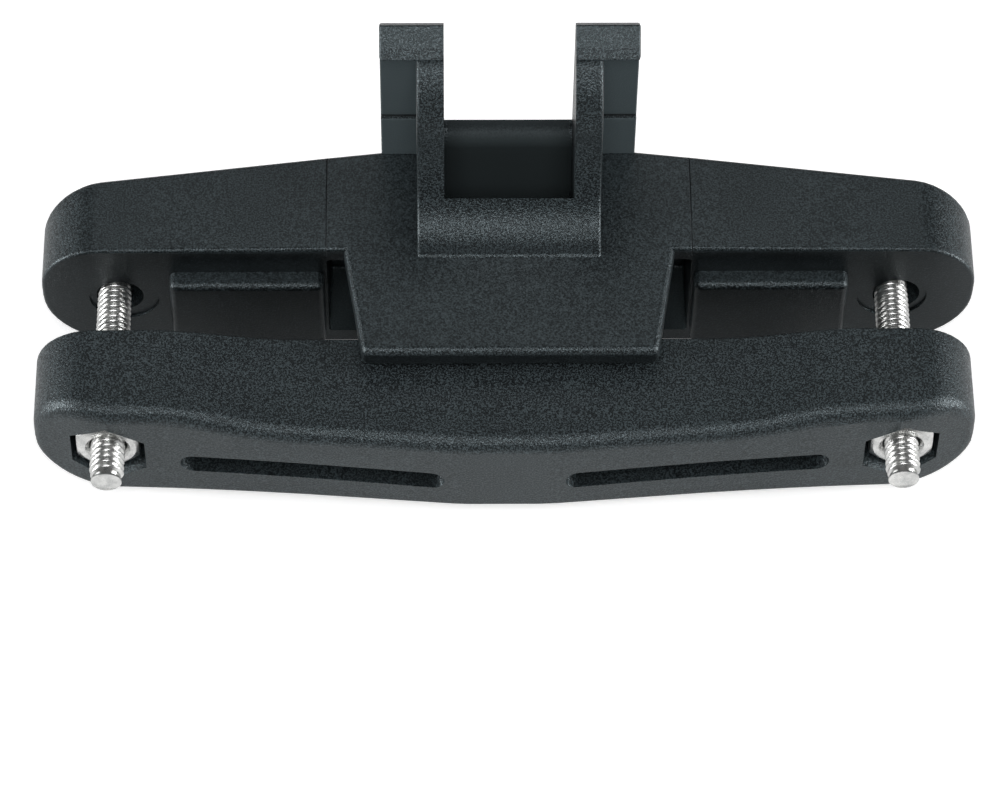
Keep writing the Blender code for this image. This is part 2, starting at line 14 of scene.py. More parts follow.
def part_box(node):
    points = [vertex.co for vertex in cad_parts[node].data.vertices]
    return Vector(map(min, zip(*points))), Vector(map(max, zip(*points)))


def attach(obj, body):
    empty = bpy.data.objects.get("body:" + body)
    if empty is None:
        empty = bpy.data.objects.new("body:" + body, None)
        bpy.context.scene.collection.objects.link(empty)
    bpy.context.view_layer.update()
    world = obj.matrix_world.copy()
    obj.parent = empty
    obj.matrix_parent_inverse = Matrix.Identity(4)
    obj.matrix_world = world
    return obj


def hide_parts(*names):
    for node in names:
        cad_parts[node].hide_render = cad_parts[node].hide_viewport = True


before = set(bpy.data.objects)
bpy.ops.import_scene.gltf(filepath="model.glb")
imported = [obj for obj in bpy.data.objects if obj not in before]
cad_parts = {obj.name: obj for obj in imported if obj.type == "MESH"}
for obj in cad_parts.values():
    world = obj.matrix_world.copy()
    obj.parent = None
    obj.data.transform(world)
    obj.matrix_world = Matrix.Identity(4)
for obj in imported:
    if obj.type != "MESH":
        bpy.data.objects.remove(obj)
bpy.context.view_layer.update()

bl_info = {
    "name": "Saddle Bag Mount",
    "version": (1, 0, 0),
    "blender": (4, 5, 0),
    "location": "View3D > Sidebar > Mount",
    "description": "Builds the looks of a two-jaw saddle rail clamp with a hitch for a bag",
    "category": "Object",
}

MM = 0.001
BODY_OF = {"hitch_jaw": "hitch_jaw_body", "clamp_jaw": "clamp_jaw_body",
           "screw_left": "screw_left_body", "screw_right": "screw_right_body",
           "nut_left": "clamp_jaw_body", "nut_right": "clamp_jaw_body"}

COORDINATES, SPLIT, NOISE = "ShaderNodeTexCoord", "ShaderNodeSeparateXYZ", "ShaderNodeTexNoise"
MATH, RANGE, MIX = "ShaderNodeMath", "ShaderNodeMapRange", "ShaderNodeMix"
BUMP, SHADER, OUTPUT = "ShaderNodeBump", "ShaderNodeBsdfPrincipled", "ShaderNodeOutputMaterial"


def linear(text):
    """A sRGB hex value as the linear colour that a shader takes."""
    values = [int(text[i:i + 2], 16) / 255 for i in (1, 3, 5)]
    return tuple(v / 12.92 if v <= 0.04045 else ((v + 0.055) / 1.055) ** 2.4
                 for v in values) + (1.0,)


def add_node(tree, kind, inputs=(), **settings):
    """Add a node with its settings, and set or link its inputs, given by name or in order.

    A node that is given as an input is linked by its first output."""
    node = tree.nodes.new(kind)
    for name, value in settings.items():
        setattr(node, name, value)
    for key, value in inputs.items() if isinstance(inputs, dict) else enumerate(inputs):
        if isinstance(value, bpy.types.Node):
            value = value.outputs[0]
        if isinstance(value, bpy.types.NodeSocket):
            tree.links.new(value, node.inputs[key])
        else:
            node.inputs[key].default_value = value
    return node


def new_material(name):
    """An empty material and its tree."""
    made = bpy.data.materials.new(name)
    made.use_nodes = True
    made.node_tree.nodes.clear()
    return made, made.node_tree


NYLON_IOR = 1.52
GRAIN_NOISE = {"Detail": 1.5, "Roughness": 0.6}
FLOW_NOISE = {"Detail": 2.0, "Roughness": 0.5}
NOISE_MIDDLE = 0.5
BASE_TONE = 0.3       # how far the plain face lies from the darker to the lighter nylon
FLOW_CONTRAST = 0.3

# How a face is turned, from where its kind begins to where it is fully of that kind.
SLOPE_FACING = (0.05, 0.4)
TOP_FACING = (0.93, 0.995)
FRONT_FACING = (-0.5, -0.9)
FLOOR_FACING = (0.5, 0.9)

# Where the rear jaw's surface changes.
POCKET_HALF_WIDTH = 6.95 * MM
POCKET_FRONT_Y = 13.0 * MM
HITCH_WALL_Y = 17.0 * MM
FLANGE_INNER_X = 10.0 * MM
EAR_UNDERSIDE_Z = 36.0 * MM
HOLLOW_FLOOR_Z = 4.0 * MM
PLATE_UNDERSIDE_Z = 17.5 * MM
SEAM_LOWEST_Z = 17.0 * MM
SEAM_EDGE = (0.04 * MM, 0.12 * MM)
STEP_Z = 24.8 * MM
STEP_REACH = 0.2 * MM
STEP_CORNER = 0.02 * MM

# By how much it changes there.
POCKET_GRAIN_LOSS = 0.8
POCKET_DULLING = 0.25
STEP_DULLING = 0.6
# Share of the painted light that the hollows' floors get.
FLOOR_FILL_LIGHT = 0.65

# The rear jaw's walls that face the rails are painted darker as painted shade; the front jaw's
# keep the plain tone.
REAR_FACES = {"top_share": 0.38, "wall_share": 0.2, "shaded_wall_tone": 0.0}
FRONT_FACES = {"top_share": 0.85, "wall_share": 0.4, "shaded_wall_tone": BASE_TONE}


def moulded_nylon(name, settings, top_share, wall_share, shaded_wall_tone, seam_x=0.0):
    """Black glass-filled nylon, injection moulded in a spark-eroded mould.

    The mould leaves an even grain that breaks the highlights up into specks. The real grain is
    a few hundredths of a millimetre wide, and is drawn coarser so that it shows. It is
    strongest on slopes and rounded edges, has top_share of that on flat tops, and wall_share
    on walls along the draw, which are polished so that the part comes out. The grain also
    lightens and darkens the colour in specks, which are painted glints, strongest where the
    highlights fall. The parting lines of the mould's inserts leave a hairline across the top
    plate at seam_x. Walls that face the rails, below the top plate, take the given wall tone:
    where it is darker than the plain face this is painted shade, since they lie in shade
    between the jaws. Walls at the back and the floors of the hollows are painted paler, as
    painted light that stands for the light filling these recesses, palest on the flanges, and
    the corner of the flanges' step is painted dark as painted shade. The latch pocket has been
    rubbed dull."""
    made, tree = new_material(name)
    coordinates = add_node(tree, COORDINATES).outputs
    place = coordinates["Object"]
    axes = add_node(tree, SPLIT, (place,)).outputs
    facing = add_node(tree, SPLIT, (coordinates["Normal"],)).outputs
    from_middle = add_node(tree, MATH, (axes["X"],), operation="ABSOLUTE")

    # The grain's height, by how each face is turned and where it is rubbed.
    grain = add_node(tree, NOISE, {
        "Vector": place, "Scale": 1 / settings.grain_size, **GRAIN_NOISE})
    slope = add_node(tree, RANGE, (facing["Z"], *SLOPE_FACING, wall_share, 1.0))
    top = add_node(tree, RANGE, (facing["Z"], *TOP_FACING, 1.0, top_share))
    share = add_node(tree, MATH, (slope, top), operation="MULTIPLY")
    between = add_node(tree, MATH, (from_middle, POCKET_HALF_WIDTH), operation="LESS_THAN")
    behind = add_node(tree, MATH, (axes["Y"], POCKET_FRONT_Y), operation="GREATER_THAN")
    pocket = add_node(tree, MATH, (between, behind), operation="MULTIPLY")
    left = add_node(tree, MATH, (pocket, -POCKET_GRAIN_LOSS, 1.0), operation="MULTIPLY_ADD")
    coarse = add_node(tree, MATH, (share, left), operation="MULTIPLY")
    raised = add_node(tree, MATH, (grain, NOISE_MIDDLE), operation="SUBTRACT")
    height = add_node(tree, MATH, (raised, coarse), operation="MULTIPLY")

    # The nylon's colour, with its flow clouds, its specks, which are painted glints, and the
    # front walls painted darker as painted shade.
    flow = add_node(tree, NOISE, {
        "Vector": place, "Scale": 1 / settings.flow_size, **FLOW_NOISE})
    # Painted shade: walls that face the rails below the top plate are darkened, as they lie in
    # shade between the jaws.
    forward = add_node(tree, RANGE, (facing["Y"], *FRONT_FACING, 0.0, BASE_TONE - shaded_wall_tone))
    below = add_node(tree, MATH, (axes["Z"], PLATE_UNDERSIDE_Z), operation="LESS_THAN")
    darker = add_node(tree, MATH, (below, forward), operation="MULTIPLY")
    tone = add_node(tree, MATH, (BASE_TONE, darker), operation="SUBTRACT")
    drift = add_node(tree, MATH, (flow, NOISE_MIDDLE), operation="SUBTRACT")
    clouds = add_node(tree, MATH, (drift, FLOW_CONTRAST, tone), operation="MULTIPLY_ADD")
    # The grain's specks in the colour are painted glints, strongest on slopes and rounded edges.
    specks = add_node(tree, MATH, (height, settings.glint_speck_contrast, clouds),
                      operation="MULTIPLY_ADD")
    nylon = add_node(tree, MIX, {
        "Factor": specks, "A": linear(settings.nylon_dark), "B": linear(settings.nylon_light)},
        data_type="RGBA").outputs["Result"]

    # Painted light: the hitch's back walls and flanges and the hollows' floors are painted paler,
    # as if more light filled these recesses.
    back = add_node(tree, MATH, (axes["Y"], HITCH_WALL_Y), operation="GREATER_THAN")
    on_wall = add_node(tree, RANGE, (facing["Y"], *FRONT_FACING, 0.0, settings.painted_fill_light))
    walls = add_node(tree, MATH, (back, on_wall), operation="MULTIPLY")
    hollow = add_node(tree, MATH, (axes["Z"], HOLLOW_FLOOR_Z), operation="LESS_THAN")
    on_floor = add_node(tree, RANGE, (facing["Z"], *FLOOR_FACING, 0.0,
                                      settings.painted_fill_light * FLOOR_FILL_LIGHT))
    floors = add_node(tree, MATH, (hollow, on_floor), operation="MULTIPLY")
    painted_fill_light = add_node(tree, MATH, (walls, floors), operation="MAXIMUM")
    beside = add_node(tree, MATH, (from_middle, FLANGE_INNER_X), operation="GREATER_THAN")
    beside = add_node(tree, MATH, (back, beside), operation="MULTIPLY")
    low = add_node(tree, MATH, (axes["Z"], EAR_UNDERSIDE_Z), operation="LESS_THAN")
    flange = add_node(tree, MATH, (beside, low), operation="MULTIPLY")
    pale = add_node(tree, MIX, {
        "Factor": flange, "A": linear(settings.fill_light_tone), "B": linear(settings.flange_fill_light_tone)},
        data_type="RGBA").outputs["Result"]
    colour = add_node(tree, MIX, {"Factor": painted_fill_light, "A": nylon, "B": pale},
                      data_type="RGBA").outputs["Result"]

    # Painted shade: the dark line in the corner of the flanges' step.
    seam_and_shade = linear(settings.seam_and_shade_tone)
    rise = add_node(tree, MATH, (axes["Z"], STEP_Z), operation="SUBTRACT")
    off_step = add_node(tree, MATH, (rise,), operation="ABSOLUTE")
    near = add_node(tree, MATH, (off_step, STEP_REACH), operation="LESS_THAN")
    step = add_node(tree, MATH, (flange, near), operation="MULTIPLY")
    above = add_node(tree, MATH, (rise, STEP_CORNER), operation="GREATER_THAN")
    corner = add_node(tree, MATH, (step, above), operation="MULTIPLY")
    colour = add_node(tree, MIX, {"Factor": corner, "A": colour, "B": seam_and_shade},
                      data_type="RGBA").outputs["Result"]

    if seam_x:
        off_seam = add_node(tree, MATH, (from_middle, seam_x), operation="SUBTRACT")
        off_seam = add_node(tree, MATH, (off_seam,), operation="ABSOLUTE")
        line = add_node(tree, RANGE, (off_seam, *SEAM_EDGE, 1.0, 0.0))
        upper = add_node(tree, MATH, (axes["Z"], SEAM_LOWEST_Z), operation="GREATER_THAN")
        seam = add_node(tree, MATH, (line, upper), operation="MULTIPLY")
        colour = add_node(tree, MIX, {"Factor": seam, "A": colour, "B": seam_and_shade},
                          data_type="RGBA").outputs["Result"]
        height = add_node(tree, MATH, (height, seam), operation="SUBTRACT")

    bump = add_node(tree, BUMP, {
        "Height": height, "Strength": 1.0, "Distance": settings.grain_depth})
    dull_pocket = add_node(tree, MATH, (pocket, POCKET_DULLING), operation="MULTIPLY")
    dull_step = add_node(tree, MATH, (step, STEP_DULLING), operation="MULTIPLY")
    dull = add_node(tree, MATH, (dull_pocket, dull_step), operation="MAXIMUM")
    plain = add_node(tree, MATH, (dull, settings.roughness), operation="ADD")
    rough = add_node(tree, MATH, (height, -settings.gloss_contrast, plain),
                     operation="MULTIPLY_ADD")
    shader = add_node(tree, SHADER, {
        "Base Color": colour, "Roughness": rough, "Metallic": 0.0, "IOR": NYLON_IOR,
        "Specular Tint": linear(settings.sheen_tint), "Normal": bump})
    add_node(tree, OUTPUT, {"Surface": shader})
    return made


TOOL_MARK_DEPTH = 0.004 * MM
TOOL_MARK_STRENGTH = 0.15
TOOL_MARK_DETAIL = 2.0
TOOL_MARK_SPREAD = (0.3, 0.7)
CLOUD_DETAIL = 3.0
CLOUD_SPREAD = (0.35, 0.65)
ZINC_ROUGHNESS = (0.25, 0.33)
# Where and how strongly the thread's bottom is darkened, as painted shade and duller plating.
ROOT_SHADE_FROM, ROOT_SHADE_TO, ROOT_SHADING = 0.35, 0.8, 0.95
ROUND_THE_SCREW = (1, 6, 1)     # the tool marks are drawn out round it, and close along it
EVEN = (1, 1, 1)


def zinc_plated_steel(name, settings, closeness):
    """Rolled or turned steel with bright zinc plating.

    The plating is near-white and cloudy, with fine marks from the tools that lie as close along
    each axis as closeness says. The bottom of the thread, which the thread's own root_depth
    gives, is darkened: painted shade in the grooves, and partly the duller plating there."""
    made, tree = new_material(name)
    place = add_node(tree, COORDINATES).outputs["Object"]
    stretch = add_node(tree, "ShaderNodeMapping", {"Vector": place, "Scale": closeness})
    marks = add_node(tree, NOISE, {
        "Vector": stretch, "Scale": 1 / settings.tool_mark_size, "Detail": TOOL_MARK_DETAIL})
    cloud = add_node(tree, NOISE, {
        "Vector": place, "Scale": 1 / settings.cloud_size, "Detail": CLOUD_DETAIL})
    cloudy = add_node(tree, RANGE, (cloud, *CLOUD_SPREAD))
    plating = add_node(tree, MIX, {
        "Factor": cloudy, "A": linear(settings.zinc_dark), "B": linear(settings.zinc_light)},
        data_type="RGBA").outputs["Result"]
    root = add_node(tree, "ShaderNodeAttribute", attribute_name="root_depth").outputs["Fac"]
    # Painted shade in the thread's grooves, partly also the duller plating there.
    dull = add_node(tree, RANGE, (root, ROOT_SHADE_FROM, ROOT_SHADE_TO, 0.0, ROOT_SHADING))
    colour = add_node(tree, MIX, {
        "Factor": dull, "A": plating, "B": linear(settings.root_shade_tone)},
        data_type="RGBA").outputs["Result"]
    rough = add_node(tree, RANGE, (marks, *TOOL_MARK_SPREAD, *ZINC_ROUGHNESS))
    bump = add_node(tree, BUMP, {
        "Height": marks, "Strength": TOOL_MARK_STRENGTH, "Distance": TOOL_MARK_DEPTH})
    shader = add_node(tree, SHADER, {
        "Base Color": colour, "Metallic": 1.0, "Roughness": rough, "Normal": bump})
    add_node(tree, OUTPUT, {"Surface": shader})
    return made


JOIN_DISTANCE = 0.002 * MM
FLAT_ANGLE = math.radians(0.5)
SMOOTH_ANGLE = math.radians(32)
BEVEL_ANGLE = math.radians(50)
BEVEL_SEGMENTS = 2
NUT_EDGE = 0.06 * MM


def add_object(name, mesh):
    """A new object in the scene."""
    made = bpy.data.objects.new(name, mesh)
    bpy.context.scene.collection.objects.link(made)
    return made


def applied(piece):
    """A piece's mesh with its modifiers applied. They are taken off the piece."""
    graph = bpy.context.evaluated_depsgraph_get()
    mesh = bpy.data.meshes.new_from_object(piece.evaluated_get(graph))
    piece.modifiers.clear()
    return mesh


def merged_copy(node, name):
    """A node's triangles as one joined skin, with its flat faces made whole."""
    work = bmesh.new()
    work.from_mesh(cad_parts[node].data)
    bmesh.ops.remove_doubles(work, verts=work.verts, dist=JOIN_DISTANCE)
    bmesh.ops.dissolve_limit(work, angle_limit=FLAT_ANGLE, verts=work.verts, edges=work.edges)
    mesh = bpy.data.meshes.new(name)
    work.to_mesh(mesh)
    work.free()
    return add_object(name, mesh)


def finish_piece(piece, node, finish):
    """Apply what is live on a piece, give it its finish and let it stand for its CAD node."""
    mesh = applied(piece)
    mesh.name = piece.name
    piece.data = mesh
    mesh.materials.clear()
    mesh.materials.append(finish)
    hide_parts(node)
    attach(piece, BODY_OF[node])


def soften(piece, width):
    """Give the sharp edges the small radius that a mould or a tumbler leaves, and shade the
    curves smooth."""
    piece.data.shade_smooth()
    piece.data.set_sharp_from_angle(angle=SMOOTH_ANGLE)
    bevel = piece.modifiers.new("mould_edge", "BEVEL")
    bevel.width = width
    bevel.segments = BEVEL_SEGMENTS
    bevel.limit_method = "ANGLE"
    bevel.angle_limit = BEVEL_ANGLE
    bevel.harden_normals = True
    weigh = piece.modifiers.new("even_shading", "WEIGHTED_NORMAL")
    weigh.keep_sharp = True


class MountJaws(bpy.types.PropertyGroup):
    """The sizes and tones of the jaws' nylon"""
    nylon_dark: StringProperty(name="Nylon, darker", default="#060809",
                               description="sRGB hex of the nylon at its darkest")
    nylon_light: StringProperty(name="Nylon, lighter", default="#3a4245",
                                description="sRGB hex of the nylon at its lightest")
    # Painted light: the paler tone painted on the back walls and the hollows' floors.
    fill_light_tone: StringProperty(name="Bloom colour", default="#41494b",
                               description="sRGB hex of the bloom on walls and floors")
    # Painted light: the palest tone, painted on the hitch's flanges.
    flange_fill_light_tone: StringProperty(name="Flange colour", default="#515b5e",
                                description="sRGB hex of the bloom on the hitch's flanges")
    # The parting lines' own dark tone, also used as painted shade in the corner of the flanges'
    # step.
    seam_and_shade_tone: StringProperty(name="Line colour", default="#050607",
                                description="sRGB hex of the parting lines and the flanges' step")
    sheen_tint: StringProperty(name="Sheen tint", default="#e9f9ff",
                               description="sRGB hex of the cool tone in the nylon's gloss")
    roughness: FloatProperty(name="Roughness", default=0.35, min=0, max=1,
                             description="Roughness of the moulded face")
    grain_size: FloatProperty(name="Grain", default=0.00020, unit="LENGTH",
                              description="Width of the mould's eroded grain, drawn coarse "
                              "enough to show")
    grain_depth: FloatProperty(name="Grain depth", default=0.00009, unit="LENGTH",
                               description="Depth of the mould's eroded grain")
    # How strongly the grain's specks, which are painted glints, lighten and darken the nylon.
    glint_speck_contrast: FloatProperty(name="Specks", default=7.0,
                                  description="How much the grain lightens and darkens the nylon")
    gloss_contrast: FloatProperty(name="Sparkle", default=0.6,
                                  description="How much the grain changes the gloss")
    # Share of the painted light on the walls at the back.
    painted_fill_light: FloatProperty(name="Bloom", default=0.85, min=0, max=1,
                         description="Share of pale bloom on the walls at the back")
    flow_size: FloatProperty(name="Flow marks", default=0.006, unit="LENGTH",
                             description="Width of the faint clouding in the nylon")
    edge: FloatProperty(name="Edge radius", default=0.00012, unit="LENGTH",
                        description="Radius on the mould's sharp edges")
    seam_x: FloatProperty(name="Parting line", default=0.0207, unit="LENGTH",
                          description="Distance of the top's parting lines from the middle")


class MountScrews(bpy.types.PropertyGroup):
    """The sizes of the screws, and the tones of the screws and nuts"""
    zinc_dark: StringProperty(name="Zinc, darker", default="#c6c7c6",
                              description="sRGB hex of the plating at its darkest")
    zinc_light: StringProperty(name="Zinc, lighter", default="#e9e9e7",
                               description="sRGB hex of the plating at its lightest")
    # The thread's bottom: painted shade in the grooves, partly also the duller plating there.
    root_shade_tone: StringProperty(name="Thread's bottom", default="#161717",
                              description="sRGB hex of the dull bottom of the thread")
    tool_mark_size: FloatProperty(name="Tool marks", default=0.00012, unit="LENGTH",
                                  description="Width of the fine marks in the steel")
    cloud_size: FloatProperty(name="Clouds", default=0.0012, unit="LENGTH",
                              description="Width of the clouds in the plating")
    pitch: FloatProperty(name="Pitch", default=0.0007, unit="LENGTH",
                         description="Thread pitch")
    crest: FloatProperty(name="Crest radius", default=0.00195, unit="LENGTH",
                         description="Outer radius of the thread")
    root: FloatProperty(name="Root radius", default=0.00157, unit="LENGTH",
                        description="Radius at the bottom of the thread")
    thread_end: FloatProperty(name="Point", default=0.0002, unit="LENGTH",
                              description="Plain length at the screw's point")
    knurls: IntProperty(name="Knurls", default=40,
                        description="Ridges round the screw's head")


class MountStage(bpy.types.PropertyGroup):
    """The view, the paper and the room's light"""
    elevation: FloatProperty(name="Elevation", default=math.radians(54.5), subtype="ANGLE",
                             description="Height of the view above the horizon")
    azimuth: FloatProperty(name="Azimuth", default=math.radians(1.4), subtype="ANGLE",
                           description="Turn of the view towards the left jaw end")
    roll: FloatProperty(name="Roll", default=math.radians(1.0), subtype="ANGLE",
                        description="Turn of the picture that sets the jaws level")
    distance: FloatProperty(name="Distance", default=0.503, unit="LENGTH",
                            description="From the camera to the top plate's front")
    focal_pixels: FloatProperty(name="Focal length", default=4450.0,
                                description="In pixels of a 1000 pixel wide image")
    aim_pixel: FloatVectorProperty(name="Aim", size=2, default=(509.3, 250.5),
                                   description="Where the aimed-at point lies in the image")
    sky_glow: FloatProperty(name="Sky", default=0.05,
                            description="Strength of the room's light from above")
    horizon_glow: FloatProperty(name="Horizon", default=0.4,
                                description="Strength of the room's light from the side")
    ground_glow: FloatProperty(name="Ground", default=0.45,
                               description="What the paper adds to the picture's ground")
    paper_glow: FloatProperty(name="Paper", default=0.08,
                              description="What the paper adds in reflections")
    paper_reach: FloatProperty(name="Paper's reach", default=0.07, unit="LENGTH",
                               description="Distance at which the paper's glow is halved")


STEPS_A_TURN = 48.0
THREAD_ROWS = 11
RUN_OUT_TURNS = 0.8
CREST_FULLNESS = 0.65       # below 1 the thread's ridges are broader than its grooves
WELD_DISTANCE = 0.001 * MM


def thread_tree():
    """A node group that winds a thread round a screw's core and joins it to the screw.

    It bends a flat strip, one pitch wide and as many turns long, round the Y axis. Across the
    strip the radius rises from the root to the crest and falls again, and at both ends the
    thread runs out into the core."""
    tree = bpy.data.node_groups.new("rolled_thread", "GeometryNodeTree")
    face = tree.interface
    for name, kind in (("Geometry", "NodeSocketGeometry"), ("Pitch", "NodeSocketFloat"),
                       ("Crest", "NodeSocketFloat"), ("Root", "NodeSocketFloat"),
                       ("Turns", "NodeSocketInt"), ("Start", "NodeSocketFloat"),
                       ("Material", "NodeSocketMaterial")):
        face.new_socket(name=name, in_out="INPUT", socket_type=kind)
    face.new_socket(name="Geometry", in_out="OUTPUT", socket_type="NodeSocketGeometry")
    given = add_node(tree, "NodeGroupInput").outputs

    steps = add_node(tree, MATH, (given["Turns"], STEPS_A_TURN, 1.0), operation="MULTIPLY_ADD")
    strip = add_node(tree, "GeometryNodeMeshGrid", {
        "Size X": 1.0, "Size Y": 1.0, "Vertices X": steps, "Vertices Y": THREAD_ROWS})
    where = add_node(tree, SPLIT, (add_node(tree, "GeometryNodeInputPosition"),)).outputs
    along = add_node(tree, MATH, (where["X"], 0.5), operation="ADD")
    along = add_node(tree, MATH, (along, given["Turns"]), operation="MULTIPLY")
    across = add_node(tree, MATH, (where["Y"], 0.5), operation="ADD")

    phase = add_node(tree, MATH, (across, math.tau), operation="MULTIPLY")
    ridge = add_node(tree, MATH, (phase,), operation="COSINE")
    wave = add_node(tree, MATH, (ridge, -0.5, 0.5), operation="MULTIPLY_ADD")
    from_start = add_node(tree, MATH, (along, RUN_OUT_TURNS), operation="DIVIDE")
    remaining = add_node(tree, MATH, (given["Turns"], along), operation="SUBTRACT")
    to_end = add_node(tree, MATH, (remaining, RUN_OUT_TURNS), operation="DIVIDE")
    nearest = add_node(tree, MATH, (from_start, to_end), operation="MINIMUM")
    fade = add_node(tree, "ShaderNodeClamp", (nearest,))
    depth = add_node(tree, MATH, (given["Crest"], given["Root"]), operation="SUBTRACT")
    full = add_node(tree, MATH, (wave, CREST_FULLNESS), operation="POWER")
    full = add_node(tree, MATH, (full, fade), operation="MULTIPLY")
    lift = add_node(tree, MATH, (full, depth), operation="MULTIPLY")
    radius = add_node(tree, MATH, (given["Root"], lift), operation="ADD")

    turn = add_node(tree, MATH, (along, math.tau), operation="MULTIPLY")
    right_handed = add_node(tree, MATH, (turn, -1.0), operation="MULTIPLY")
    cosine = add_node(tree, MATH, (turn,), operation="COSINE")
    sine = add_node(tree, MATH, (right_handed,), operation="SINE")
    advance = add_node(tree, MATH, (along, across), operation="ADD")
    x = add_node(tree, MATH, (radius, cosine), operation="MULTIPLY")
    y = add_node(tree, MATH, (advance, given["Pitch"], given["Start"]),
                 operation="MULTIPLY_ADD")
    z = add_node(tree, MATH, (radius, sine), operation="MULTIPLY")
    point = add_node(tree, "ShaderNodeCombineXYZ", (x, y, z))
    wound = add_node(tree, "GeometryNodeSetPosition", {"Geometry": strip, "Position": point})

    shown = add_node(tree, MATH, (wave, fade), operation="MULTIPLY")
    root_depth = add_node(tree, MATH, (1.0, shown), operation="SUBTRACT")
    marked = add_node(tree, "GeometryNodeStoreNamedAttribute", {
        "Geometry": wound, "Name": "root_depth", "Value": root_depth},
        data_type="FLOAT", domain="POINT")
    closed = add_node(tree, "GeometryNodeMergeByDistance", {
        "Geometry": marked, "Distance": WELD_DISTANCE})
    joined = add_node(tree, "GeometryNodeJoinGeometry")
    tree.links.new(closed.outputs["Geometry"], joined.inputs["Geometry"])
    tree.links.new(given["Geometry"], joined.inputs["Geometry"])
    real = add_node(tree, "GeometryNodeRealizeInstances", {"Geometry": joined})
    clad = add_node(tree, "GeometryNodeSetMaterial", {
        "Geometry": real, "Material": given["Material"]})
    add_node(tree, "NodeGroupOutput", {"Geometry": clad})
    return tree


SHANK_LENGTH = 30 * MM
CORE_SHARE = 0.99           # the core lies just inside the thread's root
POINT_RADIUS = 1.66 * MM
COLLAR_RADIUS = 1.72 * MM
COLLAR_FROM, COLLAR_TO, CORE_FROM = 0.05 * MM, 0.2 * MM, 0.4 * MM
HEAD_CHAMFER = 0.15 * MM
HEAD_ROUND = 0.4 * MM
HEAD_ROUND_STEPS = 6
KNURL_DEPTH = 0.09 * MM
KNURL_FROM, KNURL_TO = 0.5 * MM, 0.8 * MM
SOCKET_ACROSS_FLATS = 3.0 * MM
SOCKET_DEPTH = 2 * MM
CUT_BEYOND = 1 * MM
HEAD_SHARP_ANGLE = math.radians(30)
THREAD_SHARP_ANGLE = math.radians(50)


def ring(middle, radius, y, count, dip=0.0):
    """Points in a ring round the Y axis through the middle. Every other one is dipped."""
    points = []
    for i in range(count):
        turn = math.tau * i / count
        reach = radius - (dip if i % 2 else 0)
        points.append((middle.x + reach * math.cos(turn), y, middle.z + reach * math.sin(turn)))
    return points


def ring_mesh(name, rings):
    """A closed skin over rings of points that run round the Y axis."""
    work = bmesh.new()
    made = [[work.verts.new(point) for point in points] for points in rings]
    count = len(rings[0])
    for low, high in zip(made, made[1:]):
        for i in range(count):
            j = (i + 1) % count
            work.faces.new((low[i], low[j], high[j], high[i]))
    work.faces.new(made[0])
    work.faces.new(made[-1])
    bmesh.ops.recalc_face_normals(work, faces=work.faces)
    mesh = bpy.data.meshes.new(name)
    work.to_mesh(mesh)
    work.free()
    return mesh


def plain_screw(node, settings):
    """A socket head screw without its thread, and the place of its head's seat."""
    low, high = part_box(node)
    middle = (low + high) / 2
    head = (high.x - low.x) / 2
    core = settings.root * CORE_SHARE
    seat = low.y + SHANK_LENGTH
    count = settings.knurls * 2
    profile = [(POINT_RADIUS, low.y, 0), (COLLAR_RADIUS, low.y + COLLAR_FROM, 0),
               (COLLAR_RADIUS, low.y + COLLAR_TO, 0), (core, low.y + CORE_FROM, 0),
               (core, seat, 0), (head - HEAD_CHAMFER, seat, 0), (head, seat + HEAD_CHAMFER, 0),
               (head, seat + KNURL_FROM, KNURL_DEPTH), (head, high.y - KNURL_TO, KNURL_DEPTH)]
    for k in range(HEAD_ROUND_STEPS + 1):
        turn = math.pi / 2 * k / HEAD_ROUND_STEPS
        profile.append((head - HEAD_ROUND * (1 - math.cos(turn)),
                        high.y - HEAD_ROUND * (1 - math.sin(turn)), 0))
    rings = [ring(middle, radius, y, count, dip) for radius, y, dip in profile]
    piece = add_object("threaded_" + node, ring_mesh(node, rings))

    corner = SOCKET_ACROSS_FLATS / 2 / math.cos(math.pi / 6)
    ends = [ring(middle, corner, y, 6) for y in (high.y - SOCKET_DEPTH, high.y + CUT_BEYOND)]
    socket = add_object("socket_tool", ring_mesh("socket_tool", ends))
    cut = piece.modifiers.new("socket", "BOOLEAN")
    cut.operation = "DIFFERENCE"
    cut.object = socket
    piece.data.shade_smooth()
    piece.data.set_sharp_from_angle(angle=HEAD_SHARP_ANGLE)
    piece.data = applied(piece)
    bpy.data.objects.remove(socket)
    return piece, seat


def wind_thread(piece, node, settings, tree, finish, seat):
    """Wind the thread round a plain screw, which is moved to the Y axis for it and back."""
    low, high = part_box(node)
    middle = (low + high) / 2
    start = low.y + settings.thread_end
    piece.data.transform(Matrix.Translation((-middle.x, 0, -middle.z)))
    wind = piece.modifiers.new("thread", "NODES")
    wind.node_group = tree
    values = {"Pitch": settings.pitch, "Crest": settings.crest, "Root": settings.root,
              "Turns": int((seat - start) / settings.pitch) - 1, "Start": start,
              "Material": finish}
    for item in tree.interface.items_tree:
        if item.in_out == "INPUT" and item.name in values:
            wind[item.identifier] = values[item.name]
    mesh = applied(piece)
    mesh.transform(Matrix.Translation((middle.x, 0, middle.z)))
    mesh.shade_smooth()
    mesh.set_sharp_from_angle(angle=THREAD_SHARP_ANGLE)
    piece.data = mesh


class MOUNT_OT_jaws(bpy.types.Operator):
    """Dress both moulded jaws"""
    bl_idname = "mount.make_jaws"
    bl_label = "Jaws"

    def execute(self, context):
        settings = context.scene.mount_jaws
        rear = moulded_nylon("glass_filled_nylon_rear", settings, **REAR_FACES,
                             seam_x=settings.seam_x)
        front = moulded_nylon("glass_filled_nylon_front", settings, **FRONT_FACES)
        for node, finish, slot in (("hitch_jaw", rear, "black_nylon_rear"),
                                   ("clamp_jaw", front, "black_nylon_front")):
            piece = merged_copy(node, "moulded_" + node)
            soften(piece, settings.edge)
            finish_piece(piece, node, finish)
        return {"FINISHED"}


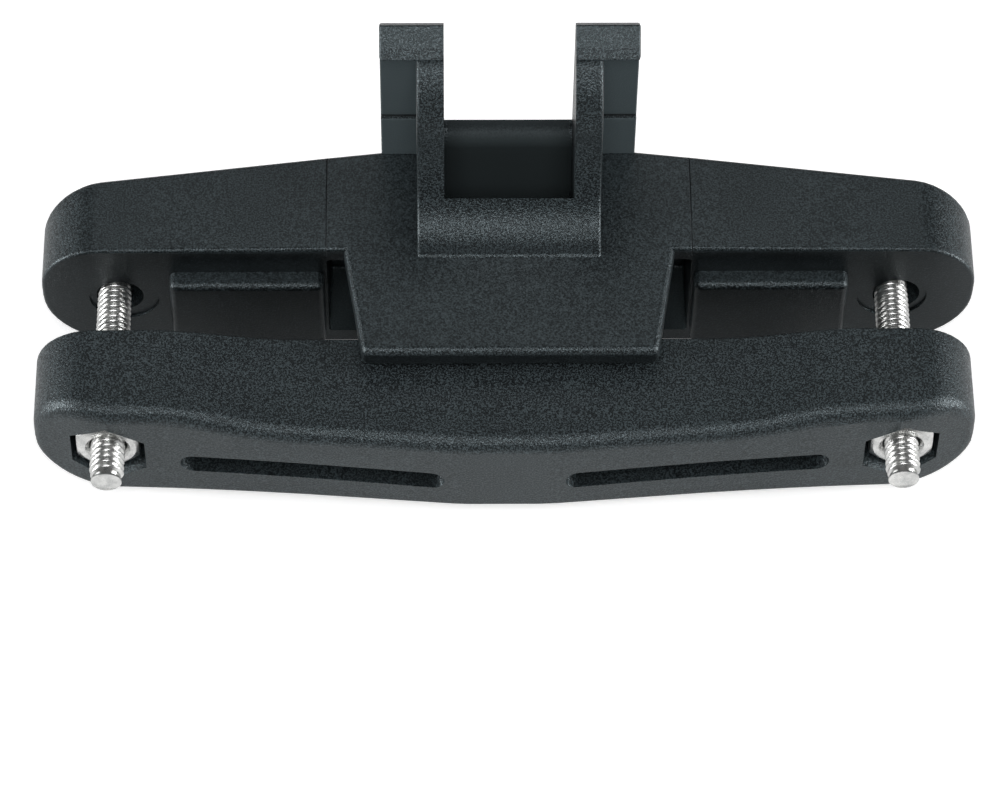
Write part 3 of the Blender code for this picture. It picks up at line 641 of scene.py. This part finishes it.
class MOUNT_OT_screws(bpy.types.Operator):
    """Make the two socket head screws with their threads"""
    bl_idname = "mount.make_screws"
    bl_label = "Screws"

    def execute(self, context):
        settings = context.scene.mount_screws
        finish = zinc_plated_steel("zinc_plated_steel", settings, ROUND_THE_SCREW)
        tree = thread_tree()
        for node in ("screw_left", "screw_right"):
            piece, seat = plain_screw(node, settings)
            wind_thread(piece, node, settings, tree, finish, seat)
            finish_piece(piece, node, finish)
        return {"FINISHED"}


class MOUNT_OT_nuts(bpy.types.Operator):
    """Make the two hexagon nuts"""
    bl_idname = "mount.make_nuts"
    bl_label = "Nuts"

    def execute(self, context):
        settings = context.scene.mount_screws
        finish = zinc_plated_steel("zinc_plated_nut_steel", settings, EVEN)
        for node in ("nut_left", "nut_right"):
            piece = merged_copy(node, "hexagon_" + node)
            soften(piece, NUT_EDGE)
            finish_piece(piece, node, finish)
        return {"FINISHED"}


IMAGE_WIDTH, IMAGE_HEIGHT = 1000, 806
SENSOR_WIDTH = 36
CAMERA_RANGE = (0.01, 10)
AIM = (0, 0.00435, 0.018)
FLOOR_HALF = 3
FLOOR_Z = -0.0002
WHITE = (1, 1, 1, 1)
PAPER_WHITE = "#f2f2f2"
TABLE_GREY = "#6a6a6a"
# In reaches of the paper: where its glow fades, and where the grey table takes its place.
GLOW_FADE = (0.5, 1.5)
TABLE_FROM, TABLE_TO = 1, 3

# The room is brighter at the sides than above, and darker behind the camera.
FRONT_SHARE = 0.08
ROOM_FRONT = (-0.9, -0.2)
ROOM_SKY = (0.15, 0.6)

# Each softbox by its name, its two sizes in metres, its place and its power in watts.
LAMPS = (("key_softbox", 0.5, 0.4, (0.0, -0.62, 0.98), 5.4),
         ("back_softbox", 0.8, 0.5, (0.0, 0.75, 0.95), 1.05),
         ("left_softbox", 0.5, 0.5, (-1.1, 0.0, 0.55), 4.5),
         ("right_softbox", 0.5, 0.5, (1.1, 0.0, 0.55), 6.0),
         ("low_left_softbox", 0.5, 0.3, (-1.1, -0.2, 0.18), 9.5),
         ("low_right_softbox", 0.5, 0.3, (1.1, -0.2, 0.18), 9.0))


def lamp(name, size_x, size_y, place, power):
    """A softbox that faces the object."""
    data = bpy.data.lights.new(name, "AREA")
    data.shape = "RECTANGLE"
    data.size = size_x
    data.size_y = size_y
    data.energy = power
    made = add_object(name, data)
    made.location = place
    made.rotation_euler = (-Vector(place)).to_track_quat("-Z", "Y").to_euler()


def studio_paper(settings):
    """White paper: a plain matt white, lit by itself too so that the picture's ground is white.

    What it adds fades away from the object, as the paper on a studio table ends."""
    paper, tree = new_material("white_studio_paper")
    rays = add_node(tree, "ShaderNodeLightPath").outputs
    place = add_node(tree, COORDINATES).outputs["Object"]
    far = add_node(tree, "ShaderNodeVectorMath", (place,), operation="LENGTH").outputs["Value"]
    fade = [settings.paper_reach * share for share in GLOW_FADE]
    near = add_node(tree, RANGE, (far, *fade, settings.paper_glow, 0.0))
    shiny = add_node(tree, MATH, (rays["Is Glossy Ray"], rays["Is Transmission Ray"]),
                     operation="MAXIMUM")
    mirrored = add_node(tree, MATH, (shiny, near), operation="MULTIPLY")
    seen = add_node(tree, MATH, (rays["Is Camera Ray"], settings.ground_glow, mirrored),
                    operation="MULTIPLY_ADD")
    end = add_node(tree, RANGE, (far, settings.paper_reach * TABLE_FROM,
                                 settings.paper_reach * TABLE_TO, 1.0, 0.0))
    white = add_node(tree, MATH, (rays["Is Camera Ray"], end), operation="MAXIMUM")
    colour = add_node(tree, MIX, {
        "Factor": white, "A": linear(TABLE_GREY), "B": linear(PAPER_WHITE)},
        data_type="RGBA").outputs["Result"]
    matt = add_node(tree, "ShaderNodeBsdfDiffuse", {"Color": colour})
    bright = add_node(tree, "ShaderNodeEmission", {"Color": WHITE, "Strength": seen})
    both = add_node(tree, "ShaderNodeAddShader", (matt, bright))
    add_node(tree, OUTPUT, {"Surface": both})
    return paper


def make_camera(scene, settings):
    """The camera, placed so that the aimed-at point falls on its pixel of the image."""
    towards = (Matrix.Rotation(-settings.azimuth, 3, "Z")
               @ Matrix.Rotation(-settings.elevation, 3, "X")
               @ Matrix.Rotation(-settings.roll, 3, "Y"))
    ahead, up, right = (towards @ Vector(axis) for axis in ((0, 1, 0), (0, 0, 1), (1, 0, 0)))
    off_x = (settings.aim_pixel[0] - IMAGE_WIDTH / 2) / settings.focal_pixels
    off_y = (IMAGE_HEIGHT / 2 - settings.aim_pixel[1]) / settings.focal_pixels
    view = (ahead - right * off_x - up * off_y).normalized()
    level = (right - view * view.dot(right)).normalized()
    camera = bpy.data.cameras.new("camera")
    camera.sensor_width = SENSOR_WIDTH
    camera.lens = settings.focal_pixels * SENSOR_WIDTH / IMAGE_WIDTH
    camera.clip_start, camera.clip_end = CAMERA_RANGE
    stand = add_object("camera", camera)
    stand.location = Vector(AIM) - ahead * settings.distance
    stand.rotation_euler = Matrix((level, level.cross(view), -view)).transposed().to_euler()
    scene.camera = stand


def make_floor(settings):
    """The paper that the mount stands on."""
    mesh = bpy.data.meshes.new("floor")
    work = bmesh.new()
    bmesh.ops.create_grid(work, x_segments=1, y_segments=1, size=FLOOR_HALF)
    work.to_mesh(mesh)
    work.free()
    mesh.transform(Matrix.Translation((0, 0, FLOOR_Z)))
    floor = add_object("floor", mesh)
    mesh.materials.append(studio_paper(settings))


def make_room(scene, settings):
    """The room's own light."""
    world = bpy.data.worlds.new("studio")
    world.use_nodes = True
    tree = world.node_tree
    tree.nodes.clear()
    towards = add_node(tree, SPLIT, (add_node(tree, COORDINATES).outputs["Generated"],)).outputs
    side = add_node(tree, RANGE, (towards["Y"], *ROOM_FRONT,
                                  settings.horizon_glow * FRONT_SHARE, settings.horizon_glow))
    glow = add_node(tree, RANGE, (towards["Z"], *ROOM_SKY, side, settings.sky_glow))
    shine = add_node(tree, "ShaderNodeBackground", {"Color": WHITE, "Strength": glow})
    add_node(tree, "ShaderNodeOutputWorld", {"Surface": shine})
    scene.world = world


class MOUNT_OT_stage(bpy.types.Operator):
    """Set the camera, the lamps, the room and the floor"""
    bl_idname = "mount.make_stage"
    bl_label = "Stage"

    def execute(self, context):
        settings = context.scene.mount_stage
        make_camera(context.scene, settings)
        make_floor(settings)
        make_room(context.scene, settings)
        for name, size_x, size_y, place, power in LAMPS:
            lamp(name, size_x, size_y, place, power)
        context.scene.view_settings.view_transform = "Standard"
        return {"FINISHED"}


OPERATORS = (MOUNT_OT_jaws, MOUNT_OT_screws, MOUNT_OT_nuts, MOUNT_OT_stage)
GROUPS = (MountJaws, MountScrews, MountStage)


class MOUNT_PT_panel(bpy.types.Panel):
    """Lists the pieces that can be built"""
    bl_label = "Saddle Bag Mount"
    bl_idname = "MOUNT_PT_panel"
    bl_space_type = "VIEW_3D"
    bl_region_type = "UI"
    bl_category = "Mount"

    def draw(self, context):
        scene = context.scene
        for made in OPERATORS:
            self.layout.operator(made.bl_idname)
        for group in (scene.mount_jaws, scene.mount_screws, scene.mount_stage):
            box = self.layout.box()
            for name in group.__annotations__:
                box.prop(group, name)


def register():
    for made in GROUPS + OPERATORS + (MOUNT_PT_panel,):
        bpy.utils.register_class(made)
    bpy.types.Scene.mount_jaws = PointerProperty(type=MountJaws)
    bpy.types.Scene.mount_screws = PointerProperty(type=MountScrews)
    bpy.types.Scene.mount_stage = PointerProperty(type=MountStage)


def unregister():
    del bpy.types.Scene.mount_jaws
    del bpy.types.Scene.mount_screws
    del bpy.types.Scene.mount_stage
    for made in reversed(GROUPS + OPERATORS + (MOUNT_PT_panel,)):
        bpy.utils.unregister_class(made)


def main():
    register()
    bpy.ops.mount.make_jaws()
    bpy.ops.mount.make_screws()
    bpy.ops.mount.make_nuts()
    bpy.ops.mount.make_stage()


if __name__ == "__main__":
    main()
